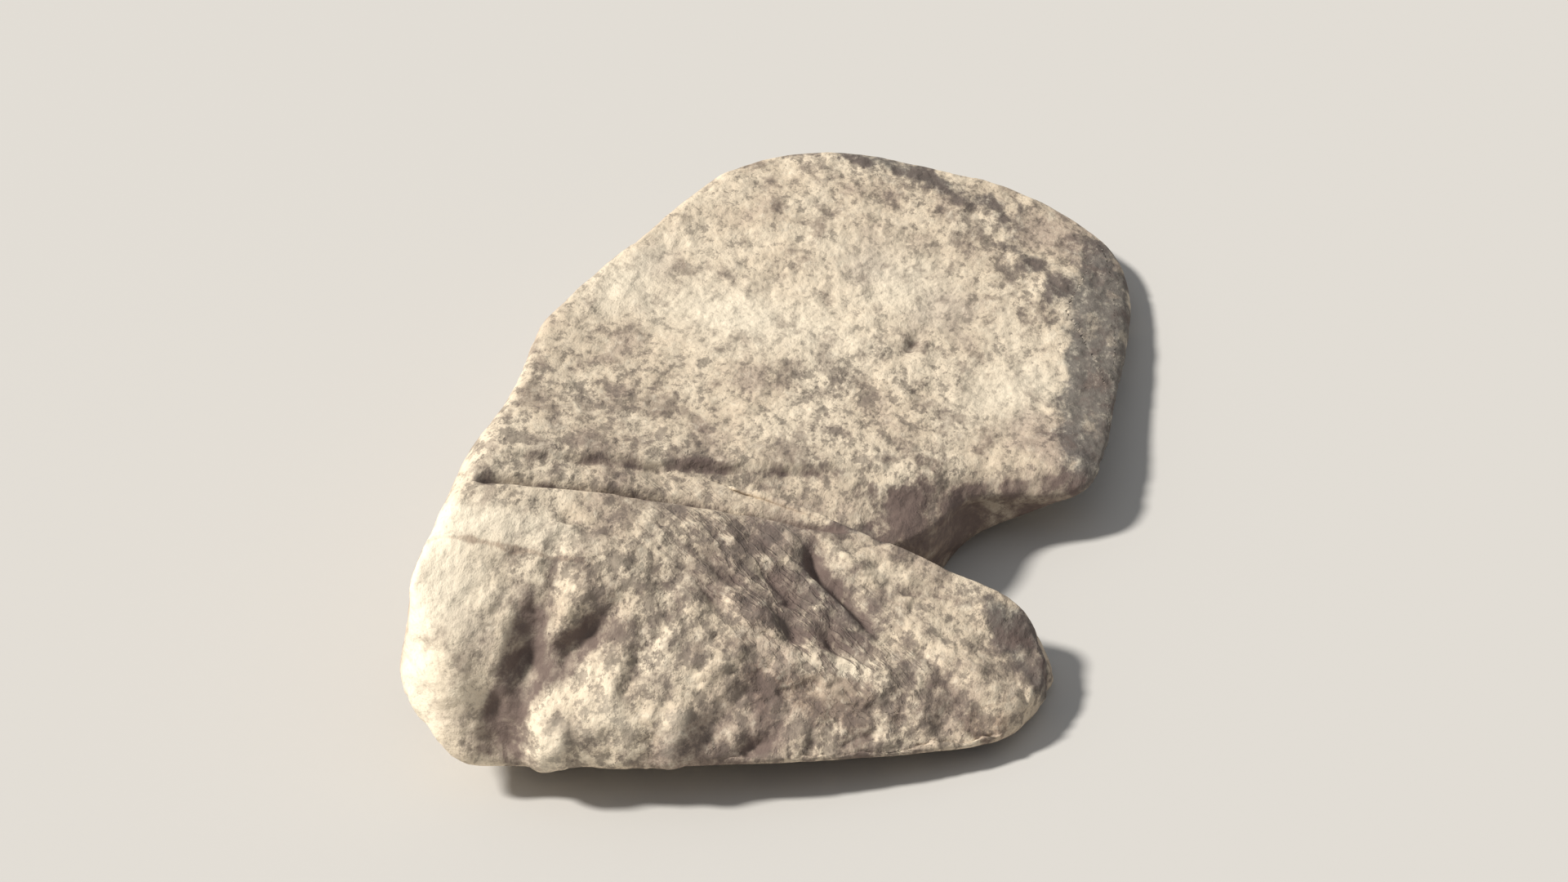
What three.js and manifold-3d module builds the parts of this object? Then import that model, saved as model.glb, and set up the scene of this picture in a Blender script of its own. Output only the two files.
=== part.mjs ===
import * as THREE from "three";
import { mergeVertices } from "three/addons/utils/BufferGeometryUtils.js";
import Module from "manifold-3d";

// A pale, bedded standing stone that has fallen and lies on its side.
// +Y runs from the broad fore end to the far end, +X to the thin side, +Z up.
// The stone is a set of rounded faces met along rays that leave one inner point, its heart.
// Where the stone splits, a wedge is open between two groups of faces: the slab and the fore lobe.
// Lengths are in mm, bearings in degrees clockwise from +Y, slopes in degrees above the level.

const LENGTH = 1810;
const WIDTH = 865;
const BASE_DROP = 8;
const GROUND_DEPTH = 60;

// The point below which the plan's middle lies, in the frame the faces are measured in.
const MIDDLE = new THREE.Vector3(44, 17, 0);
const HEART = new THREE.Vector3(-160, -460, 170);

// The higher the number, the tighter the edges between two faces.
const EDGE_TIGHTNESS = 30;

// Cells of the starting box along X, Y and Z. They are closer together at the fore end.
const CELLS = [32, 62, 9];
const FORE_CROWDING = 0.4;

// The starting box: its middle across and its fore end, the least height of its leaning top,
// and where and how steeply that top falls towards the fore end.
const BOX = { middle: 57, fore: -880, lowest: 60, fallFrom: -450, fall: 0.25 };

// Faces of the whole stone, each with a point it passes through.
const FACES = {
  bed: { bearing: 76, slope: 74, through: [-50, -430, 258] },
  fore_bed: { bearing: 100, slope: 70.5, through: [-50, -434, 259] },
  brow: { bearing: 142, slope: 56, through: [0, -640, 228] },
  front_top: { bearing: 160, slope: 34, through: [0, -800, 165] },
  front: { bearing: 170, slope: 12, through: [-60, -866, 80] },
  fore_right: { bearing: 150, slope: 34, through: [345, -745, 60] },
  right_nose: { bearing: 123, slope: 26, through: [446, -640, 50] },
  tip: { bearing: 92, slope: 22, through: [492, -520, 50] },
  corner: { bearing: 222, slope: 10, through: [-326, -852, 150] },
  left: { bearing: 268, slope: 4, through: [-380, -300, 200] },
  shoulder: { bearing: 268, slope: 46, through: [-358, -200, 322] },
  back_left: { bearing: 280, slope: 10, through: [-320, 330, 240] },
  far_left: { bearing: 303, slope: 12, through: [-225, 728, 190] },
  back: { bearing: 338, slope: 14, through: [-60, 918, 150] },
  far_right: { bearing: 22, slope: 12, through: [200, 962, 80] },
  right_back: { bearing: 58, slope: 8, through: [350, 862, 50] },
  right: { bearing: 83, slope: 5, through: [446, 385, 60] },
  right_roll: { bearing: 80, slope: 42, through: [432, 385, 76] },
  back_roll: { bearing: 348, slope: 42, through: [0, 908, 150] },
  under_front: { bearing: 164, slope: -68, through: [-60, -862, 64] },
  under_left: { bearing: 262, slope: -52, through: [-345, -300, 60] },
  under_back: { bearing: 350, slope: -58, through: [0, 900, 55] },
  base: { bearing: 180, slope: -90, through: [0, 0, -BASE_DROP] },
};

// The split's two sides: the faces of the slab, and the faces of the fore lobe.
const SLAB_FACES = {
  slab_wall: { bearing: 126, slope: -9, through: [195, -340, 150] },
  strip_roll: { bearing: 108, slope: 64, through: [157, -182, 182] },
  slab_end: { bearing: 98, slope: 5, through: [512, 60, 75] },
  under_slab: { bearing: 95, slope: -66, through: [400, 250, 40] },
};
const LOBE_FACES = {
  lobe_wall: { bearing: 4, slope: 8, through: [150, -332, 150] },
  tip_back: { bearing: 56, slope: 26, through: [480, -430, 85] },
  under_tip: { bearing: 105, slope: -58, through: [490, -520, 22] },
};

// Hollows (negative rise) and lumps: middle, direction, half length, half width and rise.
const MARKS = {
  hollow_left: { at: [-176, -820, 216], along: [0.02, -0.75, -0.6], half: 78, wide: 28, rise: -38 },
  hollow_foot: { at: [-206, -872, 125], along: [0.35, 0, -0.95], half: 60, wide: 38, rise: -30 },
  hollow_right: { at: [-110, -768, 222], along: [-0.45, -0.8, -0.35], half: 70, wide: 24, rise: -34 },
  hollow_ridge: { at: [-142, -815, 210], along: [-0.1, -0.8, -0.55], half: 50, wide: 16, rise: 14 },
  lump_low: { at: [-135, -862, 105], along: [0, 0, 1], half: 45, wide: 34, rise: 22 },
  lump_middle: { at: [-62, -830, 155], along: [0, -0.5, -0.8], half: 60, wide: 32, rise: 22 },
  lump_right: { at: [30, -815, 130], along: [0, -0.5, -0.8], half: 60, wide: 30, rise: 16 },
  groove_middle: { at: [-12, -835, 150], along: [0.1, -0.5, -0.8], half: 70, wide: 14, rise: -16 },
  groove_lobe_left: { at: [20, -560, 222], along: [0.85, -0.5, -0.2], half: 60, wide: 12, rise: -9 },
  groove_lobe_middle: { at: [100, -530, 192], along: [0.85, -0.5, -0.2], half: 65, wide: 12, rise: -10 },
  pit_left: { at: [39, -618, 228], along: [0.3, -0.9, -0.3], half: 30, wide: 18, rise: -16 },
  pit_middle: { at: [150, -614, 180], along: [0.7, -0.7, -0.3], half: 36, wide: 18, rise: -18 },
  pit_right: { at: [205, -604, 160], along: [0.7, -0.6, -0.2], half: 26, wide: 16, rise: -15 },
  pit_long: { at: [200, -500, 168], along: [0.8, -0.5, -0.3], half: 60, wide: 15, rise: -17 },
  pit_upper: { at: [142, -456, 192], along: [0.5, -0.8, -0.1], half: 32, wide: 16, rise: -15 },
  groove_low: { at: [130, -790, 85], along: [0.75, 0.45, 0.45], half: 55, wide: 14, rise: -12 },
  slab_scar: { at: [125, 255, 164], along: [0.1, 0.95, 0], half: 55, wide: 10, rise: -9 },
};

// A bay in the slab's side of the split, laid out as a mark, and how far its side is shifted in.
const BAY = { at: [345, -125, 70], along: [0.588, 0.809, 0], half: 105, wide: 110, shift: 62 };

// Three lines over the top, each the Y at which it crosses a given X.
const slabLine = (x) => -285 + 0.76 * x;
const creaseLine = (x) => -412 + 0.42 * x - 0.0005 * x * x;
const lipLine = (x) => -600 + 0.3 * x;

// The strip between the slab's line and the crease lies lower than the slab.
const LEDGE = { fall: 11, softness: 8, left: -300, right: 130, fade: 40 };
const CREASE = { depth: 14, width: 16, left: -310, right: 150, fade: 15 };
const LIP = { depth: 5, width: 18, left: -330, right: 20, fade: 25 };

// Uneven surface: the swell, and the lumps, which are weaker behind the fore end.
const SWELL = { length: 260, height: 9 };
const LUMPS = { length: 95, height: 7, behind: 0.5 };

// The fore end starts behind the crease by this much, and its knobs keep off the smooth left corner.
const FORE = { start: 60, fade: 45 };
const KNOBS = { across: 74, along: 170, height: 24, mean: 0.45, left: -235, fade: 25 };
const WARP = { length: 120, amount: 0.45 };

// The knobs' three sets: the way they are drawn out, the way the surface looks there, and a shift.
const DOWN_FRONT = { along: [0.05, -0.5, -0.8], face: [0, -0.85, 0.5], shift: 3.5 };
const OUT_TO_TIP = { along: [0.8, -0.5, -0.25], face: [0.2, -0.2, 0.9], shift: 8.5 };
const UP_TO_RIGHT = { along: [0.75, 0.45, 0.45], face: [0.4, -0.7, 0.55], shift: 12.5 };
const BROW_LINE = { start: -660, lean: 0.1, fade: 40 };
const TIP_SIDE = { start: 40, fade: 50 };

// Bedding that stands out as soft ledges on the steep sides behind the fore end.
const BEDDING = { spacing: 88, height: 6, start: -700, fade: 60, wander: 0.6, wanderLength: 300 };

// How quickly a surface counts as top, or as underside, as its outward direction tilts.
const TOP = { tilt: 0.45, sharpness: 8 };
const UNDERSIDE = { tilt: -0.75, sharpness: 8 };

const rise = (t) => 0.5 + 0.5 * Math.tanh(t);
const hump = (t) => Math.exp(-t * t);
const between = (x, span) => rise((x - span.left) / span.fade) * rise((span.right - x) / span.fade);

function facing(bearing, slope) {
  const b = THREE.MathUtils.degToRad(bearing);
  const s = THREE.MathUtils.degToRad(slope);
  return new THREE.Vector3(Math.sin(b) * Math.cos(s), Math.cos(b) * Math.cos(s), Math.sin(s));
}

// A face's outward direction and its distance from the heart.
function measured(face) {
  const normal = facing(face.bearing, face.slope);
  const reach = new THREE.Vector3(...face.through).sub(HEART).dot(normal);
  return { normal, reach };
}

const BED = measured(FACES.bed);
const BAY_OUTWARD = facing(SLAB_FACES.slab_wall.bearing, 0);
const WHOLE = Object.values(FACES).map(measured);
const SLAB = Object.values(SLAB_FACES).map(measured);
const LOBE = Object.values(LOBE_FACES).map(measured);

// How far along a ray one group of faces lies, as a power sum that rounds their edges.
function closeness(ray, group) {
  let sum = 0;
  for (const { normal, reach } of group) {
    sum += Math.max(0, ray.dot(normal) / reach) ** EDGE_TIGHTNESS;
  }
  return sum;
}

// Adds each face's share of the outward direction where the ray meets the surface.
function addShares(outward, ray, group) {
  for (const { normal, reach } of group) {
    const share = Math.max(0, ray.dot(normal) / reach) ** (EDGE_TIGHTNESS - 1) / reach;
    outward.addScaledVector(normal, share);
  }
}

// A fixed scatter of heights between -1 and 1 at whole-number points: the fraction of a large sine.
function scatter(i, j, k) {
  const s = Math.sin(i * 127.1 + j * 311.7 + k * 74.7) * 43758.5453;
  return 2 * (s - Math.floor(s)) - 1;
}

// The scattered heights at a cell's eight corners, eased into each other.
function unevenness(x, y, z) {
  const [i, j, k] = [Math.floor(x), Math.floor(y), Math.floor(z)];
  const ease = (t) => t * t * (3 - 2 * t);
  const mix = (a, b, t) => a + (b - a) * t;
  const [u, v, w] = [ease(x - i), ease(y - j), ease(z - k)];
  const row = (dj, dk) => mix(scatter(i, j + dj, k + dk), scatter(i + 1, j + dj, k + dk), u);
  return mix(mix(row(0, 0), row(1, 0), v), mix(row(0, 1), row(1, 1), v), w);
}

const unevenAt = (p, length, shift = 0) =>
  unevenness(p.x / length + shift, p.y / length + shift, p.z / length + shift);

// Rounded lumps with sharp valleys: the size of an unevenness that is stretched along a direction.
// A second layer is half as long and half as high.
function drawnOut(p, { along, face, shift }) {
  const lengthwise = new THREE.Vector3(...along).normalize();
  const crosswise = new THREE.Vector3(...face).cross(lengthwise).normalize();
  const a = p.dot(crosswise) / KNOBS.across + WARP.amount * unevenAt(p, WARP.length, shift);
  const b = p.dot(lengthwise) / KNOBS.along;
  const coarse = Math.abs(unevenness(a, b, shift));
  const fine = Math.abs(unevenness(2 * a + 5, 2 * b, shift + 3));
  return coarse + 0.5 * fine - KNOBS.mean;
}

// Knobs run down the front on the left, along the lobe on top, and up to the right below.
function knobs(p) {
  const onTop = rise((p.y - BROW_LINE.start + BROW_LINE.lean * p.x) / BROW_LINE.fade);
  const toTip = rise((p.x - TIP_SIDE.start) / TIP_SIDE.fade);
  const below = (1 - toTip) * drawnOut(p, DOWN_FRONT) + toTip * drawnOut(p, UP_TO_RIGHT);
  return onTop * drawnOut(p, OUT_TO_TIP) + (1 - onTop) * below;
}

// How near a point is to a mark: a bell along its direction times a bell across it.
function around(p, mark) {
  const axis = new THREE.Vector3(...mark.along).normalize();
  const away = p.clone().sub(new THREE.Vector3(...mark.at));
  const lengthwise = away.dot(axis);
  const sideways = Math.sqrt(Math.max(0, away.lengthSq() - lengthwise * lengthwise));
  return hump(lengthwise / mark.half) * hump(sideways / mark.wide);
}

// How far the ledge between the slab's line and the crease lies below the slab.
function ledgeFall(x, y) {
  const beyondSlab = rise((slabLine(x) - y) / LEDGE.softness);
  const behindCrease = rise((y - creaseLine(x)) / LEDGE.softness);
  return LEDGE.fall * beyondSlab * behindCrease * between(x, LEDGE);
}

// Soft ledges where the beds come out on the steep sides.
function beddingRise(p, outward) {
  const steep = 1 - Math.abs(outward.dot(BED.normal));
  const length = BEDDING.wanderLength;
  const wander = BEDDING.wander * unevenness(p.x / length, p.y / length, 9.5);
  const level = p.dot(BED.normal) / BEDDING.spacing + wander;
  const behind = rise((p.y - BEDDING.start) / BEDDING.fade);
  return BEDDING.height * steep * behind * Math.sin(2 * Math.PI * level);
}

// The height that the weathered surface adds to the rounded faces at one point.
function weathering(p, outward) {
  const { x, y } = p;
  const top = rise((outward.z - TOP.tilt) * TOP.sharpness);
  const notUnder = rise((outward.z - UNDERSIDE.tilt) * UNDERSIDE.sharpness);
  const fore = rise((creaseLine(x) - FORE.start - y) / FORE.fade);
  let d = SWELL.height * unevenAt(p, SWELL.length);
  d += LUMPS.height * (LUMPS.behind + (1 - LUMPS.behind) * fore) * unevenAt(p, LUMPS.length, 7);
  d -= ledgeFall(x, y) * top;
  d -= CREASE.depth * hump((y - creaseLine(x)) / CREASE.width) * between(x, CREASE) * top;
  d -= LIP.depth * hump((y - lipLine(x)) / LIP.width) * between(x, LIP) * top;
  d += KNOBS.height * knobs(p) * fore * rise((x - KNOBS.left) / KNOBS.fade);
  d += beddingRise(p, outward);
  for (const mark of Object.values(MARKS)) {
    d += mark.rise * around(p, mark);
  }
  return d * notUnder;
}

// Where a ray from the heart leaves the stone.
function skin(ray) {
  const slab = closeness(ray, SLAB);
  const lobe = closeness(ray, LOBE);
  const split = slab < lobe ? SLAB : LOBE;
  const sum = closeness(ray, WHOLE) + Math.min(slab, lobe);
  const p = HEART.clone().addScaledVector(ray, sum ** (-1 / EDGE_TIGHTNESS));
  const outward = new THREE.Vector3();
  addShares(outward, ray, WHOLE);
  addShares(outward, ray, split);
  outward.normalize();
  const inset = BAY.shift * around(p, BAY);
  return p.addScaledVector(outward, weathering(p, outward)).addScaledVector(BAY_OUTWARD, -inset);
}

// The height of the bed's plane over a point of the plan.
function bedHeight(x, y) {
  const { normal, reach } = BED;
  const level = normal.x * (x - HEART.x) + normal.y * (y - HEART.y);
  return HEART.z + (reach - level) / normal.z;
}

// A closed box of cells, about the stone's size, whose top leans the way the bed does.
function startingBox() {
  const box = new THREE.BoxGeometry(WIDTH, 1, 1, ...CELLS);
  box.deleteAttribute("normal");
  box.deleteAttribute("uv");
  const merged = mergeVertices(box, 1e-4);
  const at = merged.getAttribute("position");
  for (let i = 0; i < at.count; i += 1) {
    const x = at.getX(i) + BOX.middle;
    const t = at.getY(i) + 0.5;
    const y = BOX.fore + LENGTH * ((1 - FORE_CROWDING) * t + FORE_CROWDING * t * t);
    const fallen = BOX.fall * Math.min(0, y - BOX.fallFrom);
    const top = Math.max(BOX.lowest, bedHeight(x, y) + fallen);
    at.setXYZ(i, x, y, (at.getZ(i) + 0.5) * top);
  }
  return merged;
}

function stoneSkin() {
  const geometry = startingBox();
  const at = geometry.getAttribute("position");
  for (let i = 0; i < at.count; i += 1) {
    const ray = new THREE.Vector3().fromBufferAttribute(at, i).sub(HEART).normalize();
    const p = skin(ray).sub(MIDDLE);
    at.setXYZ(i, p.x, p.y, p.z);
  }
  return geometry;
}

// The block of ground that gives the stone its flat bearing face.
function ground() {
  const block = new THREE.BoxGeometry(2 * LENGTH, 2 * LENGTH, GROUND_DEPTH);
  block.translate(0, 0, -GROUND_DEPTH / 2);
  block.deleteAttribute("normal");
  block.deleteAttribute("uv");
  return mergeVertices(block, 1e-4);
}

const wasm = await Module();
wasm.setup();

function solid(geometry) {
  const vertProperties = new Float32Array(geometry.getAttribute("position").array);
  const triVerts = new Uint32Array(geometry.index.array);
  return new wasm.Manifold(new wasm.Mesh({ numProp: 3, vertProperties, triVerts }));
}

function geometryOf(body) {
  const mesh = body.getMesh();
  const geometry = new THREE.BufferGeometry();
  geometry.setAttribute("position", new THREE.BufferAttribute(mesh.vertProperties, 3));
  geometry.setIndex(new THREE.BufferAttribute(mesh.triVerts, 1));
  geometry.computeVertexNormals();
  return geometry;
}

const shape = geometryOf(solid(stoneSkin()).subtract(solid(ground())));
const pale = new THREE.MeshStandardMaterial({ color: 0xc4b39c, roughness: 0.9, metalness: 0 });

const stone = new THREE.Mesh(shape, pale);
stone.name = "stone";

const part = new THREE.Group();
part.add(stone);

export default part;
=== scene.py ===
"""A fallen standing stone: a pale bedded slab with a rounded fore lobe and a split between them."""

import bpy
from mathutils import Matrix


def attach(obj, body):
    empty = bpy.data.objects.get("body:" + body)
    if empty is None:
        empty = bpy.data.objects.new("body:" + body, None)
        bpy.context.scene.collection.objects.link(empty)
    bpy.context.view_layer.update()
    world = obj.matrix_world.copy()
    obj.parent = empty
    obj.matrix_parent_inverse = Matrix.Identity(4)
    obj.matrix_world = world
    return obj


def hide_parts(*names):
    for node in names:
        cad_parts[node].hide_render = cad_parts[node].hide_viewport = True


bl_info = {
    "name": "Fallen Standing Stone",
    "version": (1, 0, 0),
    "blender": (4, 5, 0),
    "location": "View3D > Sidebar > Stone",
    "description": "Builds the weathered surface of a fallen standing stone, and its stage",
    "category": "Object",
}

import math

import bpy
import numpy as np
from mathutils import Euler, Vector

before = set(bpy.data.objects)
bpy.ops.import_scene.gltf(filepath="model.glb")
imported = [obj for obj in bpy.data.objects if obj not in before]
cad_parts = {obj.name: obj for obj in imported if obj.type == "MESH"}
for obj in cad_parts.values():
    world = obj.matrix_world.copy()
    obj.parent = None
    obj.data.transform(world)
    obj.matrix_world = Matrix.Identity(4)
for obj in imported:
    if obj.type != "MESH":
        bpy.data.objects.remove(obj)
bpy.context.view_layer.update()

# Lengths are in metres, bearings in degrees clockwise from +Y, slopes in degrees above the level.
# Places on the stone are measured from a point of their own: taking MIDDLE away from them brings
# the stone to the frame's origin. Every ray starts at HEART, and a higher tightness gives sharper edges.
MIDDLE = np.array([0.044, 0.017, 0.0])
HEART = np.array([-0.160, -0.460, 0.170])
EDGE_TIGHTNESS = 30

# Each face of the whole stone: bearing, slope and a point it passes through.
FACES = {
    "bed": (76, 74, (-0.050, -0.430, 0.258)),
    "fore_bed": (100, 70.5, (-0.050, -0.434, 0.259)),
    "brow": (142, 56, (0.000, -0.640, 0.228)),
    "front_top": (160, 34, (0.000, -0.800, 0.165)),
    "front": (170, 12, (-0.060, -0.866, 0.080)),
    "fore_right": (150, 34, (0.345, -0.745, 0.060)),
    "right_nose": (123, 26, (0.446, -0.640, 0.050)),
    "tip": (92, 22, (0.492, -0.520, 0.050)),
    "corner": (222, 10, (-0.326, -0.852, 0.150)),
    "left": (268, 4, (-0.380, -0.300, 0.200)),
    "shoulder": (268, 46, (-0.358, -0.200, 0.322)),
    "back_left": (280, 10, (-0.320, 0.330, 0.240)),
    "far_left": (303, 12, (-0.225, 0.728, 0.190)),
    "back": (338, 14, (-0.060, 0.918, 0.150)),
    "far_right": (22, 12, (0.200, 0.962, 0.080)),
    "right_back": (58, 8, (0.350, 0.862, 0.050)),
    "right": (83, 5, (0.446, 0.385, 0.060)),
    "right_roll": (80, 42, (0.432, 0.385, 0.076)),
    "back_roll": (348, 42, (0.000, 0.908, 0.150)),
    "under_front": (164, -68, (-0.060, -0.862, 0.064)),
    "under_left": (262, -52, (-0.345, -0.300, 0.060)),
    "under_back": (350, -58, (0.000, 0.900, 0.055)),
    "base": (180, -90, (0.000, 0.000, -0.008)),
}

# The two sides of the split: the faces of the slab, and those of the fore lobe.
SLAB_FACES = {
    "slab_wall": (126, -9, (0.195, -0.340, 0.150)),
    "strip_roll": (108, 64, (0.157, -0.182, 0.182)),
    "slab_end": (98, 5, (0.512, 0.060, 0.075)),
    "under_slab": (95, -66, (0.400, 0.250, 0.040)),
}
LOBE_FACES = {
    "lobe_wall": (4, 8, (0.150, -0.332, 0.150)),
    "tip_back": (56, 26, (0.480, -0.430, 0.085)),
    "under_tip": (105, -58, (0.490, -0.520, 0.022)),
}

# Hollows (negative rise) and lumps: middle, direction, half length, half width and rise.
MARKS = {
    "hollow_left": ((-0.176, -0.820, 0.216), (0.02, -0.75, -0.6), 0.078, 0.028, -0.038),
    "hollow_foot": ((-0.206, -0.872, 0.125), (0.35, 0, -0.95), 0.060, 0.038, -0.030),
    "hollow_right": ((-0.110, -0.768, 0.222), (-0.45, -0.80, -0.35), 0.070, 0.024, -0.034),
    "hollow_ridge": ((-0.142, -0.815, 0.210), (-0.1, -0.8, -0.55), 0.050, 0.016, 0.014),
    "lump_low": ((-0.135, -0.862, 0.105), (0, 0, 1), 0.045, 0.034, 0.022),
    "lump_middle": ((-0.062, -0.830, 0.155), (0, -0.5, -0.8), 0.060, 0.032, 0.022),
    "lump_right": ((0.030, -0.815, 0.130), (0, -0.5, -0.8), 0.060, 0.030, 0.016),
    "groove_middle": ((-0.012, -0.835, 0.150), (0.1, -0.5, -0.8), 0.070, 0.014, -0.016),
    "groove_lobe_left": ((0.020, -0.560, 0.222), (0.85, -0.5, -0.2), 0.060, 0.012, -0.009),
    "groove_lobe_middle": ((0.100, -0.530, 0.192), (0.85, -0.5, -0.2), 0.065, 0.012, -0.010),
    "pit_left": ((0.039, -0.618, 0.228), (0.3, -0.9, -0.3), 0.030, 0.018, -0.016),
    "pit_middle": ((0.150, -0.614, 0.180), (0.7, -0.7, -0.3), 0.036, 0.018, -0.018),
    "pit_right": ((0.205, -0.604, 0.160), (0.7, -0.6, -0.2), 0.026, 0.016, -0.015),
    "pit_long": ((0.200, -0.500, 0.168), (0.8, -0.5, -0.3), 0.060, 0.015, -0.017),
    "pit_upper": ((0.142, -0.456, 0.192), (0.5, -0.8, -0.1), 0.032, 0.016, -0.015),
    "groove_low": ((0.130, -0.790, 0.085), (0.75, 0.45, 0.45), 0.055, 0.014, -0.012),
    "slab_scar": ((0.125, 0.255, 0.164), (0.1, 0.95, 0), 0.055, 0.010, -0.009),
}

# A bay in the slab's side of the split: middle, direction, half length, half width, and the
# distance that the bay's side is shifted in by.
BAY = ((0.345, -0.125, 0.070), (0.588, 0.809, 0), 0.105, 0.110, 0.062)

# The strip between the slab's line and the crease lies lower than the slab.
LEDGE = {"fall": 0.011, "softness": 0.008, "left": -0.300, "right": 0.130, "fade": 0.040}
CREASE = {"depth": 0.014, "width": 0.016, "left": -0.310, "right": 0.150, "fade": 0.015}
LIP = {"depth": 0.005, "width": 0.018, "left": -0.330, "right": 0.020, "fade": 0.025}

# The repeatable scatter that every unevenness is made of, and the shift between two of its layers.
SCATTER = {"x": 127.1, "y": 311.7, "z": 74.7, "gain": 43758.5453}
LAYER_SHIFT = 7.3

# Uneven surface: the swell, and the lumps, which are weaker behind the fore end.
SWELL = {"length": 0.260, "height": 0.009}
LUMPS = {"length": 0.095, "height": 0.007, "behind": 0.5, "shift": 7}

# The fore end starts this far in front of the crease. Its knobs keep off the smooth left corner.
FORE = {"start": 0.060, "fade": 0.045}
KNOBS = {"across": 0.074, "along": 0.170, "height": 0.024, "mean": 0.45}
KNOB_LAYER = {"across": 5, "shift": 3}
OFF_CORNER = {"left": -0.235, "fade": 0.025}
WARP = {"length": 0.120, "amount": 0.45}

# The knobs' three sets: the way they are drawn out, the way the surface looks there, and a shift.
DOWN_FRONT = ((0.05, -0.5, -0.8), (0, -0.85, 0.5), 3.5)
OUT_TO_TIP = ((0.8, -0.5, -0.25), (0.2, -0.2, 0.9), 8.5)
UP_TO_RIGHT = ((0.75, 0.45, 0.45), (0.4, -0.7, 0.55), 12.5)
BROW_LINE = {"start": -0.660, "lean": 0.1, "fade": 0.040}
TIP_SIDE = {"left": 0.040, "fade": 0.050}

# Bedding that stands out as soft ledges on the steep sides behind the fore end.
BEDDING = {"spacing": 0.088, "height": 0.006, "start": -0.700, "fade": 0.060}
BEDDING_WANDER = {"length": 0.300, "amount": 0.6, "level": 9.5}

# How quickly a surface counts as top, or as underside, as its outward direction tilts.
TOP = {"tilt": 0.45, "sharpness": 8}
UNDERSIDE = {"tilt": -0.75, "sharpness": 8}

# Relief too fine for the solid: grain, broken skin on the fore end, pock marks and two cracks.
GRAIN = {"length": 0.040, "layers": 4, "fall": 0.60, "shift": 0.0, "height": 0.0020}
BROKEN = {"length": 0.030, "layers": 3, "fall": 0.5, "shift": 17.0, "height": 0.0032, "mean": 0.3}
POCKS = {"length": 0.026, "layers": 2, "fall": 0.5, "shift": 31.0, "depth": 0.0030}
POCK_START = {"level": 0.62, "sharpness": 7}
CREASE_CRACK = {"width": 0.0080, "depth": 0.010, "wander": 0.003}
SLAB_CRACK = {"width": 0.009, "depth": 0.005, "wander": 0.006}

# The starting shell's top: its left and near ends, its sizes, the part of its spacing that is even,
# and the line in front of which it is lowered, by a slope, but to no less than the least height.
SHELL = {"left": -0.376, "near": -0.880, "width": 0.865, "length": 1.810, "even": 0.65}
SHELL_FORE = {"line": -0.450, "slope": 0.25, "least": 0.060}

# The shell's wall: it reaches the ground at one share of its rings, and from another share on it is
# drawn in towards its centre, quicker and quicker.
SHELL_WALL = {"centre": (-0.030, 0.000), "ground": 0.85, "start": 0.55, "drawn_in": 0.42, "power": 1.5}

# Coloured areas, laid out as the marks are: middle, direction, half length, half width, strength.
DARK_AREAS = {
    "slab_left": ((-0.245, -0.240, 0.300), (0.5, 0.85, -0.1), 0.160, 0.080, 0.45),
    "above_ledge": ((0.000, -0.230, 0.230), (0.8, 0.6, -0.2), 0.300, 0.050, 0.25),
    "ledge_lens": ((-0.075, -0.330, 0.250), (0.9, 0.4, -0.2), 0.050, 0.024, 1.00),
    "strip": ((0.225, -0.190, 0.140), (0.6, 0.8, -0.2), 0.120, 0.050, 0.55),
    "strip_left": ((0.000, -0.320, 0.215), (0.8, 0.6, -0.2), 0.090, 0.030, 0.45),
    "split_head": ((0.175, -0.340, 0.155), (0.9, 0.3, -0.2), 0.060, 0.040, 0.60),
    "band_back": ((-0.270, -0.465, 0.320), (0.95, 0.2, -0.1), 0.130, 0.045, 0.55),
    "slab_middle": ((0.060, 0.050, 0.190), (0.9, 0.3, -0.2), 0.120, 0.065, 0.50),
    "slab_low_right": ((0.090, -0.090, 0.190), (0.8, 0.6, -0.2), 0.110, 0.060, 0.30),
    "far_right": ((0.200, 0.650, 0.115), (0.6, -0.8, -0.1), 0.170, 0.060, 0.40),
    "back_rim": ((-0.050, 0.800, 0.180), (1.0, 0.1, -0.2), 0.220, 0.070, 0.40),
    "lobe_top": ((0.110, -0.540, 0.200), (0.9, -0.3, -0.3), 0.220, 0.085, 0.55),
    "front_right": ((0.280, -0.700, 0.090), (1.0, 0.4, 0.1), 0.150, 0.080, 0.60),
    "front_middle": ((-0.040, -0.735, 0.185), (1.0, -0.2, -0.3), 0.070, 0.045, 0.50),
    "front_gap": ((0.135, -0.700, 0.135), (0.2, 0.6, -0.6), 0.060, 0.035, 0.60),
    "front_left": ((-0.110, -0.665, 0.245), (1.0, -0.2, -0.2), 0.140, 0.055, 0.75),
    "front_foot": ((0.000, -0.850, 0.085), (1.0, 0.1, 0), 0.280, 0.060, 0.50),
    # tip: painted shade on the tip's facet that turns from the light, as dense dark flecks.
    "tip": ((0.455, -0.455, 0.075), (0.68, -0.62, -0.4), 0.100, 0.045, 0.90),
}
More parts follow.
